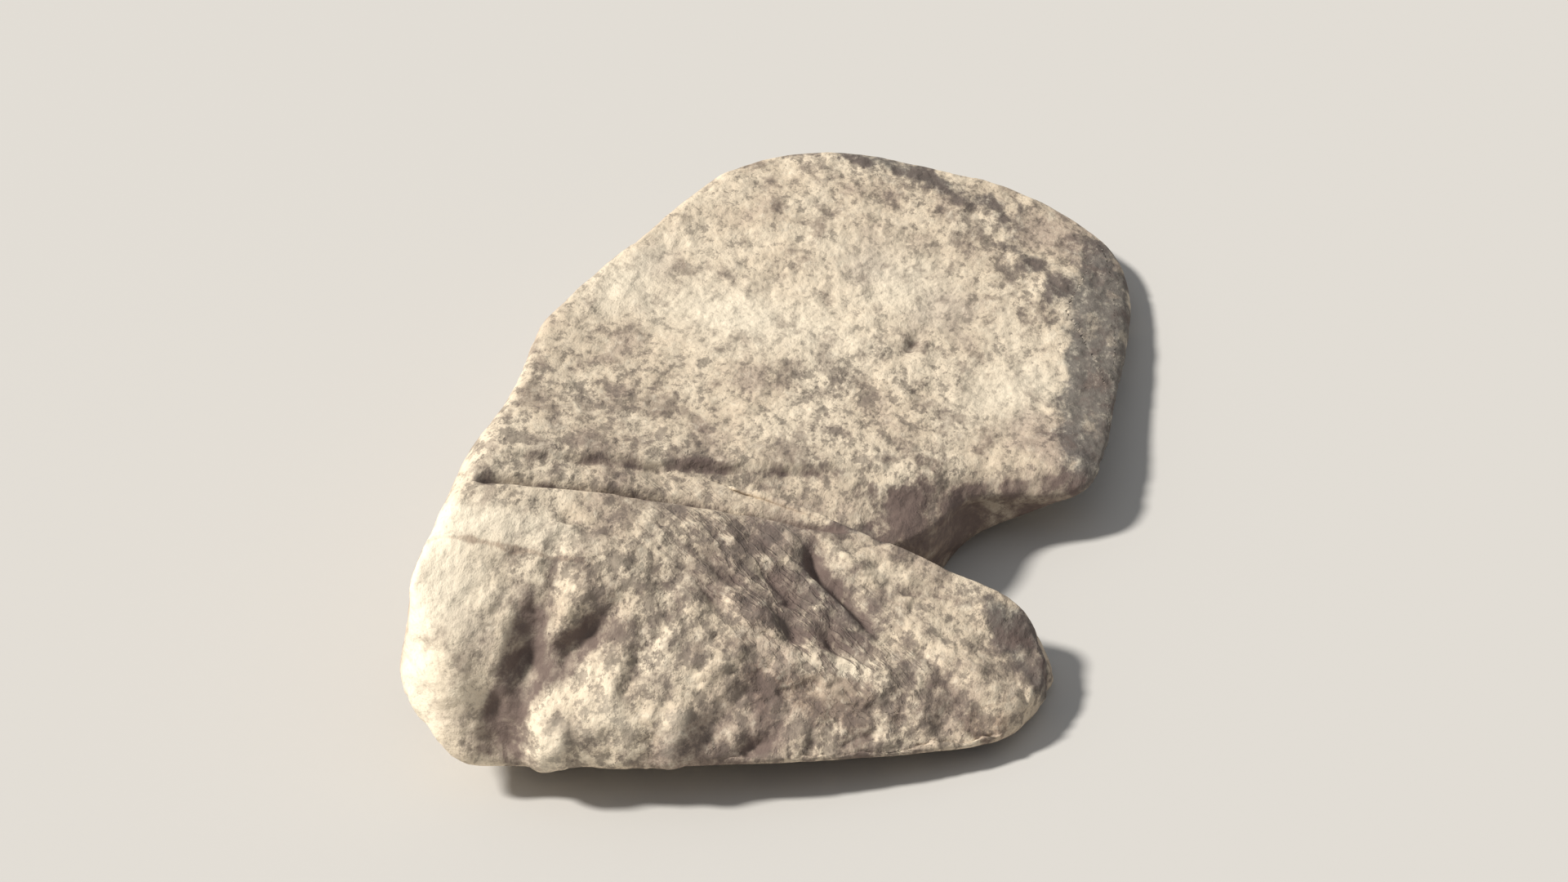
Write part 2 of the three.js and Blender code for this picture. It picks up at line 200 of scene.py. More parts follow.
CLEAN_AREAS = {
    "slab": ((-0.130, 0.140, 0.240), (0.9, 0.3, -0.2), 0.170, 0.110, 0.80),
    "slab_far": ((0.060, 0.420, 0.165), (0.9, 0.3, -0.2), 0.120, 0.130, 0.70),
    "slab_edge": ((0.300, 0.240, 0.110), (0.3, 1.0, -0.1), 0.140, 0.050, 0.70),
    "corner": ((-0.350, -0.800, 0.180), (0, 0.3, 1), 0.260, 0.095, 1.5),
    "low_front": ((-0.130, -0.880, 0.060), (1, 0, 0), 0.080, 0.040, 0.25),
    "front_lumps": ((-0.110, -0.820, 0.150), (0, -0.5, -0.8), 0.060, 0.030, 0.15),
    "front_knobs": ((0.215, -0.655, 0.118), (0.4, 0.7, -0.5), 0.055, 0.040, 0.80),
    "slab_rim": ((-0.300, 0.180, 0.275), (0.15, 1.0, -0.05), 0.200, 0.035, 0.60),
}
# Grey slate stain, and painted shade: the right edge and the tip are darkened where their facets turn
# from the light.
SLATE_AND_SHADE_AREAS = {
    "right_edge": ((0.395, 0.400, 0.074), (0.15, -1.0, 0.03), 0.430, 0.056, 2.0),
    "far_right": ((0.230, 0.650, 0.105), (0.6, -0.8, -0.1), 0.190, 0.045, 0.60),
    "back_rim": ((-0.040, 0.830, 0.170), (1.0, 0.1, -0.2), 0.220, 0.055, 0.9),
    "tip": ((0.458, -0.445, 0.074), (0.68, -0.62, -0.4), 0.100, 0.036, 2.6),
    "lobe": ((0.180, -0.500, 0.180), (0.8, -0.5, -0.3), 0.170, 0.045, 0.8),
    "strip": ((0.215, -0.190, 0.145), (0.6, 0.8, -0.2), 0.120, 0.055, 0.60),
    "split_head": ((0.175, -0.335, 0.155), (0.9, 0.3, -0.2), 0.060, 0.040, 0.90),
}
STREAKED_AREAS = {
    "lobe": ((0.130, -0.560, 0.200), (0.85, -0.45, -0.3), 0.230, 0.110, 1.4),
}
# Painted shade: the hollows, the lens under the slab's line, the split and its walls, the strip, the tip
# and the lobe's wall are darkened where they lie in shadow.
PAINTED_SHADE_AREAS = {
    "hollow": ((-0.190, -0.815, 0.200), (0.02, -0.75, -0.6), 0.070, 0.024, 0.35),
    "hollow_foot": ((-0.222, -0.885, 0.100), (1, 0, 0), 0.045, 0.026, 0.40),
    "hollow_right": ((-0.130, -0.780, 0.215), (-0.45, -0.8, -0.35), 0.050, 0.022, 0.30),
    "lens": ((-0.060, -0.320, 0.245), (0.85, 0.5, -0.2), 0.048, 0.014, 0.60),
    "split": ((0.260, -0.170, 0.080), (0.6, 0.8, -0.1), 0.180, 0.080, 0.75),
    "wall": ((0.340, -0.060, 0.060), (0.6, 0.8, 0), 0.110, 0.050, 0.35),
    "wall_top": ((0.395, -0.015, 0.080), (0.6, 0.8, 0), 0.090, 0.028, 0.50),
    "strip": ((0.230, -0.190, 0.140), (0.6, 0.8, -0.1), 0.110, 0.040, 0.25),
    "tip": ((0.462, -0.455, 0.070), (0.68, -0.62, -0.4), 0.090, 0.032, 0.48),
    "lobe_wall": ((0.170, -0.400, 0.165), (0.95, -0.3, -0.1), 0.110, 0.035, 0.30),
}
RUST_AND_SHADE_AREAS = {
    "front": ((0.190, -0.690, 0.120), (0.8, 0.3, -0.4), 0.130, 0.050, 1.0),
    "tip": ((0.430, -0.590, 0.050), (0.6, 0.8, 0), 0.070, 0.030, 0.9),
    # split: painted shade on the walls of the split, in the rust colour.
    "split": ((0.270, -0.170, 0.070), (0.6, 0.8, -0.1), 0.200, 0.090, 1.2),
}

# Colour beside a line: half width, strength, offset from the line, and where its right end fades.
# The pale band is a painted highlight where the fore lobe's top edge catches the light.
HIGHLIGHT_BAND = {"width": 0.030, "strength": 0.65, "offset": 0.014, "right": -0.150, "fade": 0.04}
BROWN_LINE = {"width": 0.007, "strength": 0.8, "offset": -0.026, "right": -0.060, "fade": 0.03}
# The crease and seam bells are painted shade in those cracks.
CREASE_SHADE = {"width": 0.013, "strength": 0.80}
SEAM_SHADE = {"width": 0.010, "strength": 0.28}

# The left side is where the outward direction's X lies below this. It is painted darker and kept from the
# clean areas: painted shade on the side that faces the key.
LEFT_SIDE = {"right": -0.84, "fade": 0.07}

# How flecked the stone is: the mean, its swing, what the fore end adds, what a clean area hides.
FLECK = {"mean": 0.37, "swing": 0.08, "fore": 0.15, "hidden": 0.75}
FLECK_SWING = {"length": 0.16, "layers": 3, "fall": 0.5, "shift": 0.0}

# How low a place counts, which sets the painted shade where it is high and the painted highlight where it
# is low: the mean, what a clean area takes off, and the depth that counts as one.
LOW = {"mean": 0.5, "clean_and_highlight": 0.20, "depth": 0.034, "left": -0.228, "fade": 0.012}

# The material's noises: scale, detail, roughness and distortion. Their place is squeezed along Y,
# which draws them out along the stone. Most of a noise lies in the range.
SQUEEZE = (1.0, 0.55, 1.0)
NOISES = {
    "broad": (7.0, 6.0, 0.62, 0.0),
    "mottle": (20.0, 6.0, 0.66, 0.2),
    "grit": (48.0, 5.0, 0.74, 0.0),
    "fine": (190.0, 3.0, 0.60, 0.0),
    "lumps": (26.0, 2.0, 0.50, 0.0),
}
NOISE_RANGE = (0.30, 0.70)
STREAKS = {"turn": 17, "stretch": (8.0, 92.0, 44.0), "noise": (1.0, 4.0, 0.60, 0.0)}
HOLES = {"push": (0.026, -0.022, 0.024), "scale": 62.0}

# The layers of colour from the lowest up: the share that each covers at most, and its colour.
LAYERS = {
    "sand": (1.0, "sand"),
    "buff": (0.85, "buff"),
    "clean_and_highlight": (0.85, "chalk"),
    "side": (0.62, "buff"),
    "slate_and_shade": (0.88, "slate_and_shade"),
    "rust_and_shade": (0.60, "rust_and_shade"),
    "streaks": (0.78, "mauve"),
    "clouds": (0.52, "mauve"),
    "grit": (0.62, "fleck"),
    "holes": (0.55, "fleck"),
    "specks": (1.0, "fleck"),
    "grains": (0.45, "chalk"),
    # Painted shade in mauve where the stone lies low, in its cracks and in the shaded areas, and a
    # painted highlight in chalk where it stands out.
    "dirt": (0.93, "mauve"),
    "rubbed": (0.22, "chalk"),
}

# The value at which a layer starts to show, and the value at which it shows in full.
RAMPS = {
    "sand": (0.38, 0.55),
    "buff": (0.50, 0.66),
    "patch": (0.25, 0.85),
    "streaks": (0.48, 0.56),
    "specks": (0.53, 0.66),
    "grains": (0.48, 0.28),
    "dirt": (0.62, 1.10),
    "rubbed": (0.38, 0.05),
}

# Layers whose start moves with the fleck area: the start, its move, and the way from start to full.
FLECKED = {
    "clouds": (0.560, -0.15, 0.12),
    "grit": (0.570, -0.13, 0.09),
    "holes": (0.04, 0.30, -0.22),
}
SPECKS = {"least": 0.16, "flecked": 0.30}
CLEAN_HIDES = 0.80
PATCH_SWING = 0.45
# How far the mottle moves the start of the painted shade.
SHADE_SWING = 0.18

# How far each layer sinks the bump's height, and the stone's sheen.
BUMP_DEPTHS = {"grit": 0.24, "lumps": 0.9, "fine": 0.06, "holes": 0.06, "streaks": 0.12}
BUMP_DISTANCE = 0.012
ROUGHNESS = (0.80, 0.97)
SPECULAR = 0.22

# The stage: the main light as it is seen from the camera, the sky, and where the camera looks.
TOWARD_KEY = (-0.72, -0.10, 0.72)
KEY_SPREAD = 9
KEY_COLOUR = (1.0, 0.965, 0.91)
SKY_COLOUR = (0.95, 0.97, 1.0, 1)
FLOOR_ROUGHNESS = 0.9
AIM = (-0.1094, 0.1625, 0.0)


def smooth_step(t):
    """Rises from 0 to 1 about zero as half of one plus the hyperbolic tangent."""
    return 0.5 + 0.5 * np.tanh(t)


def hump(t):
    """A bell: e to the minus t squared."""
    return np.exp(-t * t)


def facing(bearing, slope):
    """The unit vector that looks along a bearing, raised by a slope."""
    b, s = math.radians(bearing), math.radians(slope)
    return np.array([math.sin(b) * math.cos(s), math.cos(b) * math.cos(s), math.sin(s)])


def measured(faces):
    """The outward directions of the faces, one to a row, and their distances from the heart."""
    normals = np.array([facing(bearing, slope) for bearing, slope, _ in faces.values()])
    points = np.array([through for _, _, through in faces.values()])
    return normals, ((points - HEART) * normals).sum(1)


BED_UP = facing(*FACES["bed"][:2])
BAY_OUTWARD = facing(SLAB_FACES["slab_wall"][0], 0)
BED_REACH = (np.array(FACES["bed"][2]) - HEART) @ BED_UP


def scatter(i, j, k):
    """A fixed height between -1 and 1 at whole-number points: the fraction of a large sine."""
    s = np.sin(i * SCATTER["x"] + j * SCATTER["y"] + k * SCATTER["z"]) * SCATTER["gain"]
    return 2 * (s - np.floor(s)) - 1


def unevenness(x, y, z):
    """The scattered heights at a cell's eight corners, eased into each other along each axis."""
    x, y, z = np.broadcast_arrays(x, y, z)
    i, j, k = np.floor(x), np.floor(y), np.floor(z)
    u, v, w = (t * t * (3 - 2 * t) for t in (x - i, y - j, z - k))

    def row(dj, dk):
        a, b = scatter(i, j + dj, k + dk), scatter(i + 1, j + dj, k + dk)
        return a + (b - a) * u

    near = row(0, 0) + (row(1, 0) - row(0, 0)) * v
    far = row(0, 1) + (row(1, 1) - row(0, 1)) * v
    return near + (far - near) * w


def layered(p, texture):
    """Unevenness at a wavelength, plus the same at each half of it with a smaller height."""
    total, height = np.zeros(len(p)), 1.0
    for layer in range(texture["layers"]):
        q = p * (2**layer / texture["length"]) + texture["shift"] + LAYER_SHIFT * layer
        total += height * unevenness(*q.T)
        height *= texture["fall"]
    return total


def around(p, area):
    """How near each point is to an area: a bell along its direction times a bell across it."""
    middle, direction, half, wide, _ = area
    axis = np.array(direction, float) / np.linalg.norm(direction)
    away = p - np.array(middle)
    lengthwise = away @ axis
    sideways = np.sqrt(np.maximum(0, (away * away).sum(1) - lengthwise**2))
    return hump(lengthwise / half) * hump(sideways / wide)


def areas(p, group):
    """The sum of a group's areas, each times its last number, which is its rise or its strength."""
    return sum(area[4] * around(p, area) for area in group.values())


def slab_line(x):
    """The slab's lower edge: a straight line, Y for each X."""
    return -0.285 + 0.76 * x


def crease_line(x):
    """The crease between the strip and the fore end: a shallow parabola."""
    return -0.412 + 0.42 * x - 0.5 * x * x


def lip_line(x):
    """The shallow lip on the fore end: a straight line."""
    return -0.600 + 0.3 * x


def beside(p, line, width, offset=0.0):
    """A bell of the distance along Y from a line that is moved by an offset."""
    return hump((p[:, 1] - line(p[:, 0]) - offset) / width)


def right_of(x, span):
    """Rises from 0 to 1 at a span's left end."""
    return smooth_step((x - span["left"]) / span["fade"])


def left_of(x, span):
    """Falls from 1 to 0 at a span's right end."""
    return smooth_step((span["right"] - x) / span["fade"])


def between(x, span):
    """Rises from 0 to 1 at a span's left end and falls back at its right end."""
    return right_of(x, span) * left_of(x, span)


def whereabouts(p, outward):
    """How far each point counts as top, fore end and strip, and as off the underside and corner."""
    x, y, _ = p.T
    beyond_slab = smooth_step((slab_line(x) - y) / LEDGE["softness"])
    behind_crease = smooth_step((y - crease_line(x)) / LEDGE["softness"])
    return {
        "top": smooth_step((outward[:, 2] - TOP["tilt"]) * TOP["sharpness"]),
        "not_under": smooth_step((outward[:, 2] - UNDERSIDE["tilt"]) * UNDERSIDE["sharpness"]),
        "fore": smooth_step((crease_line(x) - FORE["start"] - y) / FORE["fade"]),
        "strip": beyond_slab * behind_crease,
        "off_corner": right_of(x, OFF_CORNER),
    }


def uneven_at(p, length, shift=0.0):
    """Unevenness at one wavelength."""
    return unevenness(*(p / length + shift).T)


def drawn_out(p, direction, face, shift):
    """Rounded lumps with sharp valleys: the size of an unevenness stretched along a direction.

    A second layer is half as long and half as high.
    """
    lengthwise = np.array(direction, float) / np.linalg.norm(direction)
    crosswise = np.cross(face, lengthwise)
    crosswise /= np.linalg.norm(crosswise)
    a = p @ crosswise / KNOBS["across"] + WARP["amount"] * uneven_at(p, WARP["length"], shift)
    b = p @ lengthwise / KNOBS["along"]
    coarse = np.abs(unevenness(a, b, shift))
    fine = np.abs(unevenness(2 * a + KNOB_LAYER["across"], 2 * b, shift + KNOB_LAYER["shift"]))
    return coarse + 0.5 * fine - KNOBS["mean"]


def knobs(p):
    """Knobs run down the front on the left, along the lobe on top, and up to the right below."""
    x, y, _ = p.T
    on_top = smooth_step((y - BROW_LINE["start"] + BROW_LINE["lean"] * x) / BROW_LINE["fade"])
    to_tip = right_of(x, TIP_SIDE)
    below = (1 - to_tip) * drawn_out(p, *DOWN_FRONT) + to_tip * drawn_out(p, *UP_TO_RIGHT)
    return on_top * drawn_out(p, *OUT_TO_TIP) + (1 - on_top) * below


def bedding_rise(p, outward):
    """A sine of the height across the beds, which wanders, on sides that cut the beds steeply."""
    steep = 1 - np.abs(outward @ BED_UP)
    x, y, _ = p.T / BEDDING_WANDER["length"]
    wander = BEDDING_WANDER["amount"] * unevenness(x, y, BEDDING_WANDER["level"])
    level = p @ BED_UP / BEDDING["spacing"] + wander
    behind = smooth_step((p[:, 1] - BEDDING["start"]) / BEDDING["fade"])
    return BEDDING["height"] * steep * behind * np.sin(2 * math.pi * level)


def fine_relief(p, at, rough):
    """Grain and broken skin as layered unevenness, pocks where it is high, and two wandering cracks."""
    x = p[:, 0]
    grain = layered(p, GRAIN)
    broken = np.abs(layered(p, BROKEN)) - BROKEN["mean"]
    pocked = smooth_step((layered(p, POCKS) - POCK_START["level"]) * POCK_START["sharpness"])
    in_crease = beside(p, crease_line, CREASE_CRACK["width"], CREASE_CRACK["wander"] * grain)
    at_slab = beside(p, slab_line, SLAB_CRACK["width"], SLAB_CRACK["wander"] * grain)
    d = GRAIN["height"] * grain * rough
    d += BROKEN["height"] * broken * at["fore"] * at["off_corner"]
    d -= POCKS["depth"] * pocked * rough
    d -= CREASE_CRACK["depth"] * in_crease * between(x, CREASE) * at["top"]
    d -= SLAB_CRACK["depth"] * at_slab * between(x, LEDGE) * at["top"]
    return d


def weathering(p, outward, relief):
    """The height that weather adds, and the part of it that is knobs, marks and fine relief."""
    x = p[:, 0]
    at = whereabouts(p, outward)
    rough = LUMPS["behind"] + (1 - LUMPS["behind"]) * at["fore"]
    d = SWELL["height"] * uneven_at(p, SWELL["length"])
    d += LUMPS["height"] * rough * uneven_at(p, LUMPS["length"], LUMPS["shift"])
    d -= LEDGE["fall"] * at["strip"] * between(x, LEDGE) * at["top"]
    d -= CREASE["depth"] * beside(p, crease_line, CREASE["width"]) * between(x, CREASE) * at["top"]
    d -= LIP["depth"] * beside(p, lip_line, LIP["width"]) * between(x, LIP) * at["top"]
    d += bedding_rise(p, outward)
    small = KNOBS["height"] * knobs(p) * at["fore"] * at["off_corner"]
    small += areas(p, MARKS)
    small += relief * fine_relief(p, at, rough)
    return (d + small) * at["not_under"], small


def powers(rays, group):
    """Each face's closeness along each ray, and the sum of these raised to the edge tightness."""
    normals, reach = group
    close = np.maximum(0, rays @ normals.T / reach)
    return close, (close**EDGE_TIGHTNESS).sum(1)


def shares(close, group):
    """The faces' outward directions, each weighted by how near it is along the ray."""
    normals, reach = group
    return (close ** (EDGE_TIGHTNESS - 1) / reach) @ normals


def skin(rays, relief):
    """Where each ray leaves the stone: the power sum of the faces' closenesses sets its length.

    The split is the nearer of two groups of faces. The weathering then moves each point along the
    outward direction in which the faces blend there. The bay's bell moves it level, in from the
    slab's wall, and what would lie below the ground is laid on it.
    """
    whole, slab, lobe = measured(FACES), measured(SLAB_FACES), measured(LOBE_FACES)
    close, total = powers(rays, whole)
    slab_close, slab_total = powers(rays, slab)
    lobe_close, lobe_total = powers(rays, lobe)
    on_slab = (slab_total < lobe_total)[:, None]
    length = (total + np.minimum(slab_total, lobe_total)) ** (-1 / EDGE_TIGHTNESS)
    p = HEART + rays * length[:, None]
    outward = shares(close, whole)
    outward += np.where(on_slab, shares(slab_close, slab), shares(lobe_close, lobe))
    outward /= np.linalg.norm(outward, axis=1, keepdims=True)
    height, small = weathering(p, outward, relief)
    p = p + outward * height[:, None] - BAY[4] * around(p, BAY)[:, None] * BAY_OUTWARD
    p[:, 2] = np.maximum(p[:, 2], 0)
    return p, outward, small


def shell_top(across, lengthwise):
    """The starting shell's top: a grid on the plane of the bed, lowered at the fore end.

    Its spacing over the length is a blend of the even step and its square.
    """
    s, t = np.linspace(0, 1, across + 1), np.linspace(0, 1, lengthwise + 1)
    x = SHELL["left"] + SHELL["width"] * s
    y = SHELL["near"] + SHELL["length"] * (SHELL["even"] * t + (1 - SHELL["even"]) * t * t)
    gx, gy = np.meshgrid(x, y, indexing="ij")
    rise = BED_REACH - BED_UP[0] * (gx - HEART[0]) - BED_UP[1] * (gy - HEART[1])
    bed = HEART[2] + rise / BED_UP[2] + SHELL_FORE["slope"] * np.minimum(0, gy - SHELL_FORE["line"])
    return np.stack([gx, gy, np.maximum(SHELL_FORE["least"], bed)], -1)


def starting_shell(across, lengthwise, rings):
    """An open-bottomed box of cells: a leaning top grid, and a wall of rings that narrows below.

    The wall carries the top's outline down ring by ring, and draws it in towards the box's centre
    by a power of the way down, so that its last ring lies inside the flat base.
    """
    top = shell_top(across, lengthwise)
    points = top.reshape(-1, 3)
    index = np.arange(len(points)).reshape(top.shape[:2])
    rim = np.concatenate([index[:-1, 0], index[-1, :-1], index[:0:-1, -1], index[0, :0:-1]])
    centre = np.array(SHELL_WALL["centre"])
    start = SHELL_WALL["start"]
    rows = [rim]
    layers = [points]
    for ring in range(1, rings + 1):
        down = ring / rings
        beyond = max(0.0, down - start) / (1 - start)
        drawn_in = 1 - SHELL_WALL["drawn_in"] * beyond ** SHELL_WALL["power"]
        wall = points[rim].copy()
        wall[:, :2] = centre + (wall[:, :2] - centre) * drawn_in
        wall[:, 2] *= 1 - min(1.0, down / SHELL_WALL["ground"])
        rows.append(index.size + (ring - 1) * len(rim) + np.arange(len(rim)))
        layers.append(wall)
    corners = [index[:-1, :-1], index[1:, :-1], index[1:, 1:], index[:-1, 1:]]
    top_cells = np.stack(corners, -1).reshape(-1, 4)
    upper, lower = np.array(rows[:-1]), np.array(rows[1:])
    next_upper, next_lower = np.roll(upper, -1, axis=1), np.roll(lower, -1, axis=1)
    wall_cells = np.stack([upper, lower, next_lower, next_upper], -1).reshape(-1, 4)
    return np.concatenate(layers), np.concatenate([top_cells, wall_cells]), rows[-1][::-1]


def mesh_object(name, points, quads, cap):
    """A mesh of four-cornered cells and one many-cornered flat cap."""
    mesh = bpy.data.meshes.new(name)
    corners = np.concatenate([quads.ravel(), cap])
    starts = np.concatenate([np.arange(len(quads)) * 4, [len(quads) * 4]])
    mesh.vertices.add(len(points))
    mesh.vertices.foreach_set("co", points.astype(np.float32).ravel())
    mesh.loops.add(len(corners))
    mesh.loops.foreach_set("vertex_index", corners.astype(np.int32))
    mesh.polygons.add(len(starts))
    mesh.polygons.foreach_set("loop_start", starts.astype(np.int32))
    mesh.polygons.foreach_set("use_smooth", np.ones(len(starts), bool))
    mesh.update(calc_edges=True)
    mesh.validate()
    piece = bpy.data.objects.new(name, mesh)
    bpy.context.collection.objects.link(piece)
    return piece


def paint(piece, name, values):
    """Stores one number for each vertex, which the material reads by its name."""
    layer = piece.data.attributes.new(name, "FLOAT", "POINT")
    layer.data.foreach_set("value", np.clip(values, 0, 1).astype(np.float32))


def paint_areas(piece, p, outward, small):
    """Stores how clean, flecked, stained, streaked and low the stone is at each vertex.

    Each is a sum of areas and of bells beside the lines. A sunk relief counts as low by its depth. What
    lies low is given painted shade and what stands out a painted highlight; the clean areas also hold a
    painted highlight along the lip, and the slate and rust stains painted shade on the right edge, the
    tip and the split's walls.
    """
    x = p[:, 0]
    at = whereabouts(p, outward)
    top = at["top"]
    # Painted highlight: a pale band along the lip, added to the clean areas.
    band = beside(p, lip_line, HIGHLIGHT_BAND["width"], HIGHLIGHT_BAND["offset"]) * left_of(x, HIGHLIGHT_BAND) * top
    brown = beside(p, lip_line, BROWN_LINE["width"], BROWN_LINE["offset"]) * left_of(x, BROWN_LINE) * top
    # Painted shade in the crease and along the slab's line.
    crease = beside(p, crease_line, CREASE_SHADE["width"]) * between(x, CREASE) * top
    seam = beside(p, slab_line, SEAM_SHADE["width"]) * between(x, LEDGE) * top
    # Painted shade: the left side, which faces the key, is darkened.
    side = left_of(outward[:, 0], LEFT_SIDE)
    clean_and_highlight = np.clip(areas(p, CLEAN_AREAS) + HIGHLIGHT_BAND["strength"] * band, 0, 1) * (1 - side)
    fleck = FLECK["mean"] + FLECK["swing"] * layered(p, FLECK_SWING) + areas(p, DARK_AREAS)
    fleck += FLECK["fore"] * at["fore"] * top
    # Painted shade where the relief is sunk and in the shaded areas; where the relief stands out this
    # number is low and gives a painted highlight.
    low = LOW["mean"] - LOW["clean_and_highlight"] * clean_and_highlight - small / LOW["depth"] * right_of(x, LOW)
    low += CREASE_SHADE["strength"] * crease + SEAM_SHADE["strength"] * seam + areas(p, PAINTED_SHADE_AREAS)
    painted = {
        "fleck": fleck * (1 - FLECK["hidden"] * clean_and_highlight),
        "clean_and_highlight": clean_and_highlight,
        "side": side,
        "slate_and_shade": areas(p, SLATE_AND_SHADE_AREAS),
        "rust_and_shade": areas(p, RUST_AND_SHADE_AREAS) + BROWN_LINE["strength"] * brown,
        "streaked": areas(p, STREAKED_AREAS),
        "low": low,
    }
    for name, values in painted.items():
        paint(piece, name, values)


class Nodes:
    """Adds shader nodes to one tree and joins them."""

    def __init__(self, tree):
        self.tree = tree

    def put(self, socket, value):
        if isinstance(value, bpy.types.NodeSocket):
            self.tree.links.new(value, socket)
        else:
            socket.default_value = value

    def add(self, kind, inputs=None, **settings):
        node = self.tree.nodes.new(kind)
        for key, value in settings.items():
            setattr(node, key, value)
        for key, value in (inputs or {}).items():
            self.put(node.inputs[key], value)
        return node

    def noise(self, place, scale, detail, roughness, distortion):
        inputs = {
            "Vector": place,
            "Scale": scale,
            "Detail": detail,
            "Roughness": roughness,
            "Distortion": distortion,
        }
        return self.add("ShaderNodeTexNoise", inputs).outputs[0]

    def cells(self, place, noise, push, scale):
        """The distance to the nearest of scattered points, each cell's outline pushed by a noise."""
        pushed = self.add("ShaderNodeVectorMath", {0: noise, 1: push, 2: place}, operation="MULTIPLY_ADD")
        inputs = {"Vector": pushed.outputs[0], "Scale": scale}
        return self.add("ShaderNodeTexVoronoi", inputs).outputs["Distance"]

    def stretched(self, place, scale=(1, 1, 1), turn=0):
        """A place turned about Z by some degrees and scaled."""
        inputs = {"Vector": place, "Scale": scale, "Rotation": (0, 0, math.radians(turn))}
        return self.add("ShaderNodeMapping", inputs).outputs[0]

    def maths(self, operation, a, b=0.0, c=0.0):
        return self.add("ShaderNodeMath", {0: a, 1: b, 2: c}, operation=operation).outputs[0]

    def times(self, a, b):
        return self.maths("MULTIPLY", a, b)

    def ramp(self, value, low, high, to_low=0.0, to_high=1.0):
        inputs = {"Value": value, "From Min": low, "From Max": high, "To Min": to_low, "To Max": to_high}
        return self.add("ShaderNodeMapRange", inputs, interpolation_type="SMOOTHSTEP").outputs[0]

    def swung(self, value, noise, swing):
        """A value that a noise raises or lowers by up to a swing."""
        return self.maths("ADD", value, self.ramp(noise, *NOISE_RANGE, -swing, swing))

    def area(self, name):
        return self.add("ShaderNodeAttribute", attribute_name=name).outputs["Fac"]

    def patchy(self, name, noise):
        """An area whose edge follows a noise: the area, swung by the noise and sharpened."""
        return self.ramp(self.swung(self.area(name), noise, PATCH_SWING), *RAMPS["patch"])

    def flecked(self, value, fleck, start, move, way):
        """A ramp of a value, whose start moves with the fleck area."""
        low = self.maths("MULTIPLY_ADD", fleck, move, start)
        return self.ramp(value, low, self.maths("ADD", low, way))

    def mix(self, factor, a, b):
        node = self.add("ShaderNodeMix", data_type="RGBA")
        for key, value in ((0, factor), (6, a), (7, b)):
            self.put(node.inputs[key], value)
        return node.outputs[2]


def stone_material(colours):
    """Pale stone: mottled cream, dark pitted grit, slate and rusty stains that also paint shade, painted
    shade in what lies low, and painted highlights on what stands out.

    Each layer of colour covers those below it where its noise, its painted area or both are high.
    """
    material = bpy.data.materials.new("pale_stone")
    material.use_nodes = True
    tree = material.node_tree
    tree.nodes.clear()
    n = Nodes(tree)
    place = n.stretched(n.add("ShaderNodeTexCoord").outputs["Object"], SQUEEZE)
    fleck, clean_and_highlight, low = n.area("fleck"), n.area("clean_and_highlight"), n.area("low")
    noise = {name: n.noise(place, *values) for name, values in NOISES.items()}
    broad, mottle, grit, fine = noise["broad"], noise["mottle"], noise["grit"], noise["fine"]
    streak_place = n.stretched(n.stretched(place, turn=STREAKS["turn"]), STREAKS["stretch"])
    streaks = n.ramp(n.noise(streak_place, *STREAKS["noise"]), *RAMPS["streaks"])
    holes = n.cells(place, fine, HOLES["push"], HOLES["scale"])
    marked = n.maths("MULTIPLY_ADD", clean_and_highlight, -CLEAN_HIDES, 1.0)
    speckled = n.maths("MULTIPLY_ADD", fleck, SPECKS["flecked"], SPECKS["least"])

    shown = {
        "sand": n.ramp(broad, *RAMPS["sand"]),
        "buff": n.ramp(broad, *RAMPS["buff"]),
        "clean_and_highlight": clean_and_highlight,
        # Painted shade on the left side.
        "side": n.area("side"),
        # The slate stain also paints shade on the right edge and the tip.
        "slate_and_shade": n.patchy("slate_and_shade", mottle),
        # The rust stain also paints shade on the walls of the split.
        "rust_and_shade": n.patchy("rust_and_shade", mottle),
        "streaks": n.times(n.area("streaked"), streaks),
        "clouds": n.times(marked, n.flecked(mottle, fleck, *FLECKED["clouds"])),
        "grit": n.times(marked, n.flecked(grit, fleck, *FLECKED["grit"])),
        "holes": n.times(marked, n.flecked(holes, fleck, *FLECKED["holes"])),
        "specks": n.times(n.ramp(fine, *RAMPS["specks"]), speckled),
        "grains": n.ramp(grit, *RAMPS["grains"]),
        # Painted shade where the stone lies low, and a painted highlight where it stands out.
        "dirt": n.ramp(n.swung(low, mottle, SHADE_SWING), *RAMPS["dirt"]),
        "rubbed": n.ramp(low, *RAMPS["rubbed"]),
    }
    colour = colours.cream
    for name, (cover, tone) in LAYERS.items():
        colour = n.mix(n.times(shown[name], cover), colour, getattr(colours, tone))

    sinking = {**noise, "holes": shown["holes"], "streaks": shown["streaks"]}
    height = 0.0
    for name, depth in BUMP_DEPTHS.items():
        height = n.maths("MULTIPLY_ADD", sinking[name], -depth, height)
    inputs = {"Height": height, "Strength": 1.0, "Distance": BUMP_DISTANCE}
    inputs = {
        "Base Color": colour,
        "Normal": n.add("ShaderNodeBump", inputs).outputs[0],
        "Specular IOR Level": SPECULAR,
        "Roughness": n.ramp(mottle, *NOISE_RANGE, *ROUGHNESS),
    }
    shader = n.add("ShaderNodeBsdfPrincipled", inputs)
    n.add("ShaderNodeOutputMaterial", {"Surface": shader.outputs[0]})
    return material


def plain_material(name, colour, roughness):
    material = bpy.data.materials.new(name)
    material.use_nodes = True
    shader = material.node_tree.nodes["Principled BSDF"]
    shader.inputs["Base Color"].default_value = colour
    shader.inputs["Roughness"].default_value = roughness
    return material


